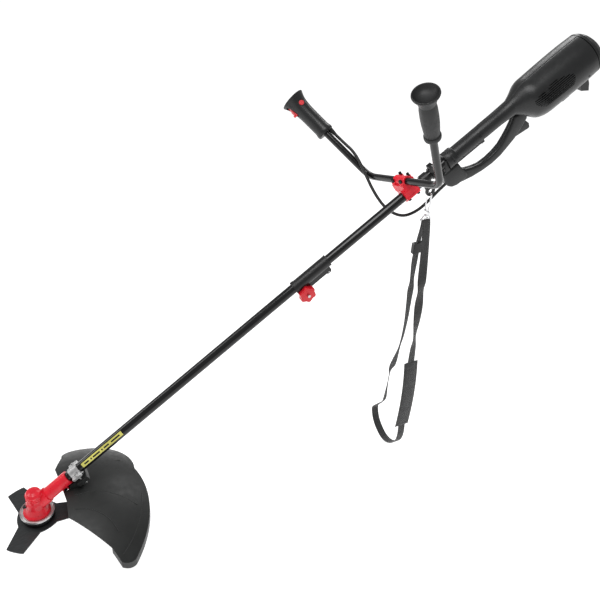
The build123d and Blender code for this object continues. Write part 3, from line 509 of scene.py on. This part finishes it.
def webbing(name, run, width, thick, material, node):
    """A woven band along its stations, twisting a little as it hangs."""
    line = eased(run, 5)
    bpy.ops.object.select_all(action="DESELECT")
    bpy.ops.mesh.primitive_plane_add(size=0.01)
    band = start_piece(name)
    bpy.ops.mesh.merge(type="CENTER")
    bpy.ops.transform.translate(value=(-width / 2 * MM, line[0][0] * MM, line[0][1] * MM))
    columns = 4
    for _ in range(columns):
        bpy.ops.mesh.extrude_vertices_move(TRANSFORM_OT_translate={"value": (width / columns * MM, 0, 0)})
    bpy.ops.mesh.select_all(action="SELECT")
    run_length = [0.0]
    for (y0, z0, _), (y1, z1, _) in zip(line, line[1:]):
        bpy.ops.mesh.extrude_region_move(TRANSFORM_OT_translate={"value": (0, (y1 - y0) * MM, (z1 - z0) * MM)})
        run_length.append(run_length[-1] + hypot(y1 - y0, z1 - z0) * MM)
    bpy.ops.object.mode_set(mode="OBJECT")
    for vertex in band.data.vertices:
        turn = radians(line[vertex.index // (columns + 1)][2])
        vertex.co.y += vertex.co.x * sin(turn)
        vertex.co.x *= cos(turn)
    weave = band.data.uv_layers.new(name="weave")
    for loop in band.data.loops:
        row, column = divmod(loop.vertex_index, columns + 1)
        weave.data[loop.index].uv = (column / columns * width * MM, run_length[row])
    wall = band.modifiers.new("thickness", "SOLIDIFY")
    wall.thickness = thick * MM
    wall.offset = 0
    bpy.ops.object.modifier_apply(modifier="thickness")
    edge = band.modifiers.new("selvedge", "BEVEL")
    edge.width = 0.7 * MM
    edge.segments = 2
    edge.limit_method = "ANGLE"
    edge.angle_limit = radians(60)
    bpy.ops.object.modifier_apply(modifier="selvedge")
    band.matrix_world = HARNESS
    bpy.ops.object.transform_apply(location=True, rotation=True, scale=True)
    bpy.ops.object.shade_smooth_by_angle(angle=radians(40))
    paint(band, material)
    fit_piece(band, "harness", "webbing", node)


webbing("front_band", FRONT_RUN, 25, 2.2, WEB_BLACK, "front_webbing")
webbing("rear_band", REAR_RUN, 25, 2.2, WEB_BLACK, "rear_webbing")


def make_pad():
    line = eased(PAD_RUN, 12)
    rings = []
    for number, (y, z) in enumerate(line):
        ends = min(1.0, (min(number, len(line) - 1 - number) + 1) / 5) ** 0.5
        sewn = 0.72 if number % 12 == 6 else 1.0
        rings.append((z, 0, y, 22.5 * (0.82 + 0.18 * ends), 4.9 * ends * sewn))
    pad = lofted("shoulder_cushion", rings, HARNESS, PAD_CLOTH, 40, 60)
    weave = pad.data.uv_layers.new(name="weave")
    for loop in pad.data.loops:
        spot = pad.data.vertices[loop.vertex_index].co
        weave.data[loop.index].uv = (spot.x, spot.z)
    fit_piece(pad, "harness", "pad", "shoulder_pad")
    for side in (-1, 1):
        edge = [(side * 22.6, y, z) for y, z in PAD_RUN]
        binding = bent_rod("pad_binding_" + ("left" if side < 0 else "right"), edge, 1.9, HARNESS, EDGE_BLACK)
        tape = binding.data.uv_layers.new(name="weave")
        for loop in binding.data.loops:
            spot = binding.data.vertices[loop.vertex_index].co
            tape.data[loop.index].uv = (spot.x + spot.y, spot.z)
        fit_piece(binding, "harness", "pad")


make_pad()

for height, run_y in ((-112, 8.6), (-120, 9.6), (-590, -46.5), (-770, -51.5)):
    for row in (-8.5, -3, 3, 8.5):
        front = run_y - (1.6 if height > -500 else 4.9)
        line = [(row - 1.8, front, height), (row, front - 0.5, height), (row + 1.8, front, height)]
        thread = bent_rod(f"stitch_{-height}_{int(row * 2)}".replace("-", "m"), line, 0.4, HARNESS, THREAD)
        fit_piece(thread, "harness", "webbing")

# ---- motor unit ----
SHELL = [(151, 0, 20.2), (156, 0, 20.6), (200, 0, 20.6), (248, 0, 20.6), (250, 0, 21), (300, 0, 21), (340, 0, 21),
         (348, -1, 23), (358, -4, 28.5), (370, -8, 36), (384, -13, 46), (396, -17, 54), (410, -19, 58.5),
         (430, -21, 60.5), (470, -21, 61.3), (520, -21, 61.8), (560, -21, 61.3), (584, -21, 60.2), (594, -21, 59.6)]
COLLAR = [(122, 0, 23.4), (123.5, 0, 24.4), (136, 0, 24.4), (137, 0, 23.6), (139, 0, 23.6), (140, 0, 24.4),
          (151.5, 0, 24.4), (153, 0, 23.4)]
LOOP = [(126, -60), (122, -82), (172, -98), (206, -105), (240, -108), (270, -106), (297, -99), (328, -90),
        (360, -74), (384, -60), (380, -34), (349, -28), (337, -40), (320, -53), (304, -63), (282, -75), (258, -81),
        (233, -83), (208, -81), (187, -73), (166, -62), (153, -46)]
NOSE = [(98, -20), (95, -52), (98, -64), (106, -74), (122, -80), (150, -82), (163, -76), (160, -58), (154, -44),
        (150, -20)]
FIN = [(322, -76), (345, -64), (372, -56), (385, -84), (383, -97), (378, -98), (334, -91)]
FOOT = [(486, -76), (522, -76), (518, -94), (492, -94)]
MOTOR_DROP = 21
SHELL_R = 61.5
VENTS = {-5: ((412, 508),), 0: ((406, 512),), 5: ((400, 514),), 10: ((395, 516),), 15: ((392, 516),),
         20: ((392, 514),), 25: ((392, 425), (437, 505)), 30: ((404, 425), (437, 490)), 35: ((444, 470),)}


def housing_shape():
    """The rear grip, flare and motor shell as one solid."""
    steps = eased([(x, z, r) for x, z, r in SHELL if x > 340], 4)
    rings = [(x, 0, z, r, r) for x, z, r in SHELL if x <= 300] + [(x, 0, z, r, r) for x, z, r in steps]
    shell = lofted("shell", rings, AXIAL, HOUSING, 144)
    return shell


def cut_vents(shell):
    """Slots through the shell: a slit cutter along each, laid square to the surface."""
    slits = []
    for side in (-1, 1):
        for angle, spans in VENTS.items():
            for low, high in spans:
                bpy.ops.object.select_all(action="DESELECT")
                bpy.ops.mesh.primitive_cube_add(size=1, scale=((high - low) * MM, 16 * MM, 2.5 * MM))
                slit = bpy.context.object
                middle = Matrix.Translation(((low + high) / 2 * MM, 0, -MOTOR_DROP * MM))
                outwards = Matrix.Rotation(radians(angle) * side, 4, "X") @ Matrix.Translation((0, side * 60 * MM, 0))
                slit.matrix_world = TOOL @ middle @ outwards @ slit.matrix_world
                bpy.ops.object.transform_apply(location=True, rotation=True, scale=True)
                slits.append(slit)
    carve(shell, joined("slits", slits))


def make_housing():
    """Both motor shells, with the collar, nose, loop, fin and foot moulded on."""
    shell = housing_shape()
    collar = lofted("collar", [(x, 0, z, r, r) for x, z, r in COLLAR], AXIAL, HOUSING, 96)
    nose = prism("nose", NOSE, -17, 17, TOOL, HOUSING, 6)
    neck = prism("neck", [(104, -24), (124, -24), (124, 10), (117, 10)], -15, 15, TOOL, HOUSING, 3)
    loop = prism("loop", LOOP, -11, 11, TOOL, HOUSING, 6)
    fin = prism("fin", FIN, -5, 5, TOOL, HOUSING, 2)
    foot = prism("foot", FOOT, -16, 16, TOOL, HOUSING, 2.5)
    core = turned("core", [(0, 405), (50, 405), (57.5, 430), (58.2, 520), (57.5, 580), (0, 580)], AXIAL @
                  Matrix.Translation((0, -MOTOR_DROP * MM, 0)), BLACK_PLASTIC, 96)
    carve(shell, core)
    cut_vents(shell)
    for side, hand in ((-1, "left"), (1, "right")):
        parts = [half_of(shape, "part", (0, side * 0.25 * MM, 0), (0, side, 0))
                 for shape in (shell, collar, nose, neck, loop, fin, foot)]
        half = joined("motor_shell_" + hand, parts)
        fit_piece(half, "tool", "housing_plastic", "motor_housing_" + hand)
    for shape in (shell, collar, nose, neck, loop, fin, foot):
        bpy.data.objects.remove(shape)


make_housing()

REAR = [(596.4, -21, 59.6), (602, -21, 59.2), (603.4, -21, 57.6), (605, -21.2, 58), (610, -21.8, 55.4),
        (613, -22.4, 53.2), (614.4, -22.8, 50.8), (616, -23, 51), (620, -24, 46.6), (622.4, -24.6, 42),
        (624, -25, 41.4), (627, -26, 33), (629, -26.8, 24), (630, -27.4, 12)]
cap = lofted("rear_cover", [(x, 0, z, r, r) for x, z, r in REAR], AXIAL, HOUSING, 128)
fit_piece(cap, "tool", "housing_plastic", "rear_cap")

for side, hand in ((-1, "left"), (1, "right")):
    for angle in range(0, 36, 5):
        reach = 58 - abs(angle - 12) * 0.8
        turn = radians(angle - 2.5)
        line = [(458 + share * reach, side * SHELL_R * cos(turn), -MOTOR_DROP + SHELL_R * sin(turn))
                for share in (-1, -0.5, 0, 0.5, 1)]
        rib = bent_rod(f"vent_rib_{hand}_{angle}", line, 0.9, TOOL, HOUSING)
        fit_piece(rib, "tool", "housing_plastic")

CASE_SCREWS = ((232, -20.4, 6), (330, -20.8, -4), (420, -55, -38), (560, -56, -46), (140, -24, 0))
for number, (x, y, z) in enumerate(CASE_SCREWS):
    face = Vector((0, y, z + (MOTOR_DROP if x > 400 else 0))).normalized()
    turn = Vector((0, 0, 1)).rotation_difference(face).to_matrix().to_4x4()
    screw = turned(f"case_screw_{number}",
                   [(0, 0.4), (1.4, 0.4), (1.7, 1.0), (3.0, 1.0), (3.2, 0.4), (3.2, -2), (0, -2)],
                   TOOL @ Matrix.Translation((x * MM, y * MM, z * MM)) @ turn, DARK_STEEL, 24)
    fit_piece(screw, "tool", "dark_steel")


# ---- hand grips ----
PLAIN = grip_place(-1)
bell = [(9.6, -136), (17.6, -136), (19.6, -134.6), (20.2, -131), (20.2, -127), (19.2, -124.6), (17.4, -123.6),
        (17.4, -121), (18.6, -112), (20.4, -90), (21, -70), (20.4, -46), (19, -34), (18.6, -31), (19.4, -29.6),
        (20.4, -27), (23, -18), (27, -10), (30.4, -6), (31.4, -3.6), (31, -1.6), (29.8, -0.6), (28.2, -1.2), (26.5, -4),
        (22, -9.4), (17, -12.3), (12, -14.1), (6, -15.1), (0, -15.3), (0, -15.9), (9.6, -15.9), (9.6, -136)]
fit_piece(turned("bell_grip", bell, PLAIN, GRIP, 96), "bars", "grip_rubber", "plain_grip")

SWITCH = grip_place(1)
HEAD_RINGS = [(-136, 0, 0, 20, 20), (-135, 0, 0, 23.4, 23.4), (-132, 0, 0, 24.8, 24.8), (-126, 0, 0, 25, 25),
              (-122, 0, 0, 23.8, 23.8), (-118, 0, 0, 23, 23), (-90, 0, 0, 23, 23), (-62, 0, 0, 23.2, 23.2),
              (-46, 0, 0, 24, 24), (-32, 0, 0, 25.4, 25.4), (-22, 0, 0, 27.4, 27.4), (-14, 0, 0, 30.2, 30.2),
              (-8, 0, 0, 33, 33), (-4, 0, 0, 35, 35), (-2, 0, 0, 35.6, 35.6), (-0.6, 0, 0, 34.4, 34.4),
              (0, 0, 0, 31, 31)]


def make_switch_grip():
    """The switch grip's two shells, hollowed for the bar and switch, and its ribs."""
    body = lofted("switch_body", HEAD_RINGS, SWITCH, HOUSING, 72)
    for name, low, high in (("bar_way", (-9.55, -9.55, -140), (9.55, 9.55, -62)),
                            ("slot", (-46, -5.7, -48), (-16, 5.7, -9)),
                            ("switch_room", (-17, -13, -60), (13, 13, -10))):
        bpy.ops.object.select_all(action="DESELECT")
        if name == "bar_way":
            bpy.ops.mesh.primitive_cylinder_add(vertices=48, radius=9.6 * MM, depth=78 * MM, location=(0, 0, -101 * MM))
        else:
            middle = [(a + b) / 2 * MM for a, b in zip(low, high)]
            bpy.ops.mesh.primitive_cube_add(size=1, location=middle, scale=[(b - a) * MM for a, b in zip(low, high)])
        cutter = bpy.context.object
        cutter.matrix_world = SWITCH @ cutter.matrix_world
        bpy.ops.object.transform_apply(location=True, rotation=True, scale=True)
        carve(body, cutter)
    for spot, radius, depth, lean in (((2, -26, -30), 7.7, 28, 90), ((16.5, 0, -139), 4.0, 160, 0),
                                      ((16.5, 0, -136), 6.05, 12, 0)):
        bpy.ops.object.select_all(action="DESELECT")
        bpy.ops.mesh.primitive_cylinder_add(vertices=40, radius=radius * MM, depth=depth * MM,
                                            location=[q * MM for q in spot], rotation=(radians(lean), 0, 0))
        cutter = bpy.context.object
        cutter.matrix_world = SWITCH @ cutter.matrix_world
        bpy.ops.object.transform_apply(location=True, rotation=True, scale=True)
        carve(body, cutter)
    across = (SWITCH.to_3x3() @ Vector((0, 1, 0))).normalized()
    for side, name, node in ((-1, "switch_front", "switch_grip_front_shell"),
                             (1, "switch_back", "switch_grip_back_shell")):
        point = SWITCH @ Vector((0, side * 0.2 * MM, 0))
        shell = half_of(body, name, point, across * side)
        fit_piece(shell, "bars", "housing_plastic", node)
    bpy.data.objects.remove(body)
    for number in range(9):
        z = -110 + 7 * number
        arc = [(22.9 * cos(radians(t)), 22.9 * sin(radians(t)), z) for t in range(-60, 61, 15)]
        rib = bent_rod(f"switch_rib_{number}", arc, 0.8, SWITCH, HOUSING)
        fit_piece(rib, "bars", "housing_plastic")


make_switch_grip()

# ---- coupling between the tubes ----
SLEEVE_END = AXIAL @ Matrix.Translation((0, 0, -396 * MM))
for name, profile in (
        ("sleeve_cuff", [(17.4, 0.4), (17.5, 1), (17.5, 7), (16.9, 9.6), (16.3, 10.2), (16.3, 0.4)]),
        ("sleeve_lip", [(16.25, 112), (16.8, 112.4), (16.9, 113.5), (16.9, 115.2), (16.4, 115.9), (16.25, 116)])):
    ring = turned(name, profile + profile[:1], SLEEVE_END, BLACK_PLASTIC, 72)
    fit_piece(ring, "tool", "black_plastic")


def make_knob():
    """The coupling's lobed knob with its boss.

    Known fault: settle() overwrites the cylinder's own offset, so the knob sits 8.5 mm deeper
    than its CAD node, and choose_faces() finds no face at that height, so no ring is cut.
    """
    place = TOOL @ Matrix.Translation((-378 * MM, -17.3 * MM, -29 * MM)) @ Matrix.Rotation(radians(90), 4, "X")
    bpy.ops.object.select_all(action="DESELECT")
    bpy.ops.mesh.primitive_cylinder_add(vertices=24, radius=24.5 * MM, depth=17 * MM, location=(0, 0, 8.5 * MM))
    knob = start_piece("lobed_knob")
    bpy.ops.object.mode_set(mode="OBJECT")
    for vertex in knob.data.vertices:
        turn = atan2(vertex.co.y, vertex.co.x)
        waist = 1 - 0.1 * (1 - cos(6 * (turn - radians(12))))
        vertex.co.x *= waist
        vertex.co.y *= waist
    choose_faces(knob, lambda centre: centre.z > 16.9 * MM and hypot(centre.x, centre.y) < 0.001)
    bpy.ops.mesh.inset(thickness=5.5 * MM)
    bpy.ops.mesh.extrude_region_move(TRANSFORM_OT_translate={"value": (0, 0, -3 * MM)})
    bpy.ops.mesh.inset(thickness=5 * MM)
    bpy.ops.mesh.extrude_region_move(TRANSFORM_OT_translate={"value": (0, 0, 3.6 * MM)})
    settle(knob, place, RED_PLASTIC, 0)
    edge = knob.modifiers.new("edge", "BEVEL")
    edge.width = 2.0 * MM
    edge.segments = 3
    edge.limit_method = "ANGLE"
    edge.angle_limit = radians(50)
    bpy.ops.object.modifier_apply(modifier="edge")
    bpy.ops.object.shade_smooth_by_angle(angle=radians(50))
    boss = turned("knob_boss", [(4.1, -6), (10, -6), (10, 0.6), (4.1, 0.6), (4.1, -6)], place, RED_PLASTIC, 40)
    fit_piece(joined("lobed_knob", [knob, boss]), "coupling_knob", "red_plastic", "coupling_knob")


make_knob()

# ---- red clamp castings ----


def drill(piece, place, radius, depth):
    """A round hole, centred on a place and along its Z axis."""
    bpy.ops.object.select_all(action="DESELECT")
    bpy.ops.mesh.primitive_cylinder_add(vertices=64, radius=radius * MM, depth=depth * MM)
    bit = bpy.context.object
    bit.matrix_world = place
    bpy.ops.object.transform_apply(location=True, rotation=True, scale=True)
    carve(piece, bit)


def make_clamp():
    """The clamp's upper half over the handlebar, with four bolt ears."""
    along_bar = BAR_TURN @ Matrix.Translation((0, 0, 38 * MM)) @ Matrix.Rotation(radians(-90), 4, "X")
    half = [(5, 13.4), (12, 14.6), (22, 14.4), (23.5, 13.2)]
    rings = [(-y, 0, 0, r, r) for y, r in reversed(half)] + [(y, 0, 0, r, r) for y, r in half]
    cap = lofted("bar_cap", rings, along_bar, RED_ENAMEL, 64)
    ears = [turned("ear", [(0, 0.4), (6.2, 0.4), (6.4, 5.2), (5.6, 6.3), (0, 6.3)],
                   BAR_TURN @ Matrix.Translation((x * MM, y * MM, 38 * MM)), RED_ENAMEL, 32)
            for x in (-14, 14) for y in (-17, 17)]
    upper = half_of(cap, "bar_cap_half", BAR_TURN @ Vector((0, 0, 38.5 * MM)), BAR_TURN.to_3x3() @ Vector((0, 0, 1)))
    drill(upper, along_bar, 9.6, 80)
    fit_piece(joined("bar_clamp_cap", [upper] + ears), "tool", "red_casting", "clamp_bar_cap")
    bpy.data.objects.remove(cap)


make_clamp()

# ---- label strip on the lower tube ----
def label_patch(name, start, length, low, high, lift, material):
    """A curved patch on the tube between two angles up from the near side."""
    bpy.ops.object.select_all(action="DESELECT")
    bpy.ops.mesh.primitive_plane_add(size=0.01)
    patch = start_piece(name)
    bpy.ops.mesh.merge(type="CENTER")
    first = radians(low)
    bpy.ops.transform.translate(value=(-lift * cos(first) * MM, lift * sin(first) * MM, start * MM))
    for step in range(1, 13):
        before, here = (radians(low + (high - low) * k / 12) for k in (step - 1, step))
        bpy.ops.mesh.extrude_vertices_move(TRANSFORM_OT_translate={"value": (
            -lift * (cos(here) - cos(before)) * MM, lift * (sin(here) - sin(before)) * MM, 0)})
    bpy.ops.mesh.select_all(action="SELECT")
    bpy.ops.mesh.extrude_region_move(TRANSFORM_OT_translate={"value": (0, 0, length * MM)})
    bpy.ops.object.mode_set(mode="OBJECT")
    film = patch.modifiers.new("film", "SOLIDIFY")
    film.thickness = 0.1 * MM
    bpy.ops.object.modifier_apply(modifier="film")
    bpy.ops.object.mode_set(mode="EDIT")
    settle(patch, AXIAL, material, 40)
    fit_piece(patch, "cutting_head", "guard_plastic")


label_patch("label_strip", -1106, 132, 8, 62, 13.2, YELLOW)
LABEL_BARS = ((-1098, 14), (-1078, 4), (-1070, 22), (-1042, 4), (-1034, 16), (-1010, 28))
for number, (start, length) in enumerate(LABEL_BARS):
    label_patch(f"label_bar_{number}", start, length, 26, 44, 13.32, BLACK_PLASTIC)

# ---- creases pressed into the guard ----
CREASES = (((95, -36), (139, -36), (180, -54), (213, -76), (238, -100)),
           ((86, -76), (121, -89), (146, -108), (163, -133), (172, -160)),
           ((262, 20), (261, -52), (253, -90), (234, -134), (212, -168), (188, -194), (168, -208)),
           ((90, 40), (140, 52), (190, 66), (236, 70)))
for number, crease in enumerate(CREASES):
    ridge = [(x, y, -305 + (333.4 ** 2 - (x - 110) ** 2 - (y + 10) ** 2) ** 0.5 - 0.4) for x, y in crease]
    ridge_piece = bent_rod(f"guard_crease_{number}", ridge, 1.3, HEAD, GUARD)
    fit_piece(ridge_piece, "cutting_head", "guard_plastic")

# ---- room ----
bpy.ops.object.select_all(action="DESELECT")
bpy.ops.mesh.primitive_plane_add(size=60, location=(0, 0, -0.96))
floor = bpy.context.object
floor.name = "floor"
floor.data.materials.append(finish_base("floor_paper", (0.8, 0.8, 0.8), 0.9, Emission_Color=(1, 1, 1, 1),
                                        Emission_Strength=0.72))

world = bpy.data.worlds.new("soft_room")
world.use_nodes = True
world.node_tree.nodes["Background"].inputs["Color"].default_value = (1, 1, 1, 1)
world.node_tree.nodes["Background"].inputs["Strength"].default_value = 0.4
bpy.context.scene.world = world


def panel_light(name, place, target, size, power):
    light = bpy.data.lights.new(name, "AREA")
    light.shape = "RECTANGLE"
    light.size, light.size_y = size
    light.energy = power
    lamp = bpy.data.objects.new(name, light)
    lamp.location = place
    lamp.rotation_euler = (Vector(target) - Vector(place)).to_track_quat("-Z", "Y").to_euler()
    bpy.context.scene.collection.objects.link(lamp)


panel_light("key_panel", (-1.2, -0.6, 2.6), (-0.2, 0, 0), (2.2, 1.2), 45)
panel_light("side_panel", (-2.6, 1.2, 1.4), (-0.3, 0, -0.2), (0.5, 1.8), 16)
panel_light("rim_panel", (1.4, 1.6, 1.6), (0, 0, 0), (1.6, 1.0), 25)

scene_view = bpy.context.scene.view_settings
scene_view.view_transform = "Standard"
